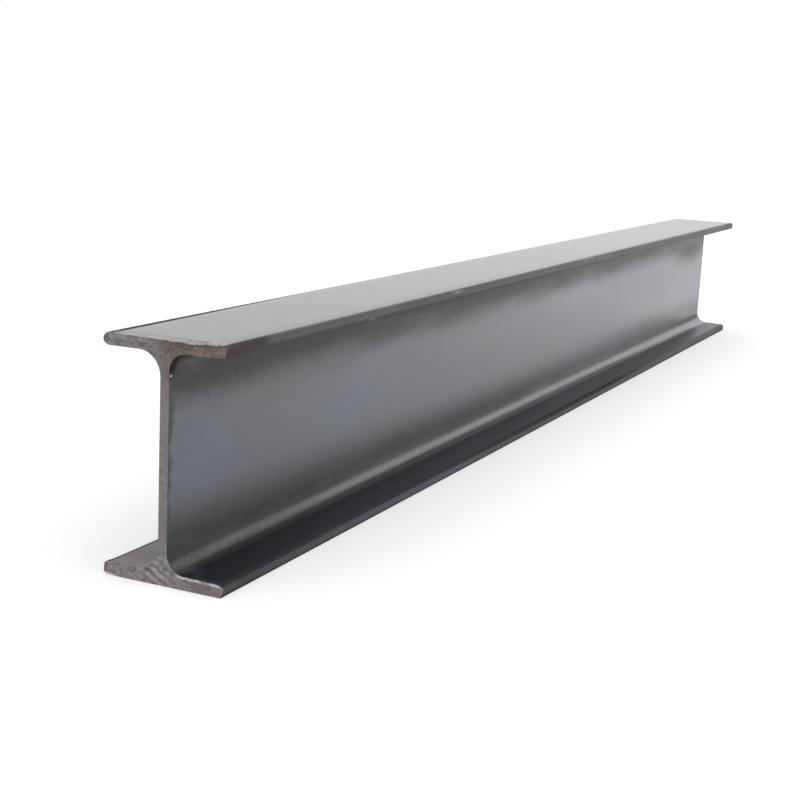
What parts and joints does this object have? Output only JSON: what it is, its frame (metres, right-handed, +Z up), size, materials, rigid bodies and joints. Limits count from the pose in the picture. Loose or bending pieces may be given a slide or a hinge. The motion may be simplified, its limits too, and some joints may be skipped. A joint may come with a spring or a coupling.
{
  "type": "steel i-beam",
  "caption": "Sawn length of hot-rolled steel I-beam with parallel flanges, filleted web roots and rounded flange toes, used as a small structural member.",
  "frame": {"origin": "middle of the lower flange's underside, halfway along the beam", "axes": "+X along the beam, from the near sawn end in the picture to the far one; +Y across the flanges, away from the side in view; +Z up the web"},
  "size_m": [0.88, 0.055, 0.1],
  "materials": {
    "mill_scale_steel": "hot-rolled blue-grey mill scale, satin, with brownish sawn ends"
  },
  "bodies": {
    "root": {"i_beam": "mill_scale_steel"}
  },
  "joints": []
}
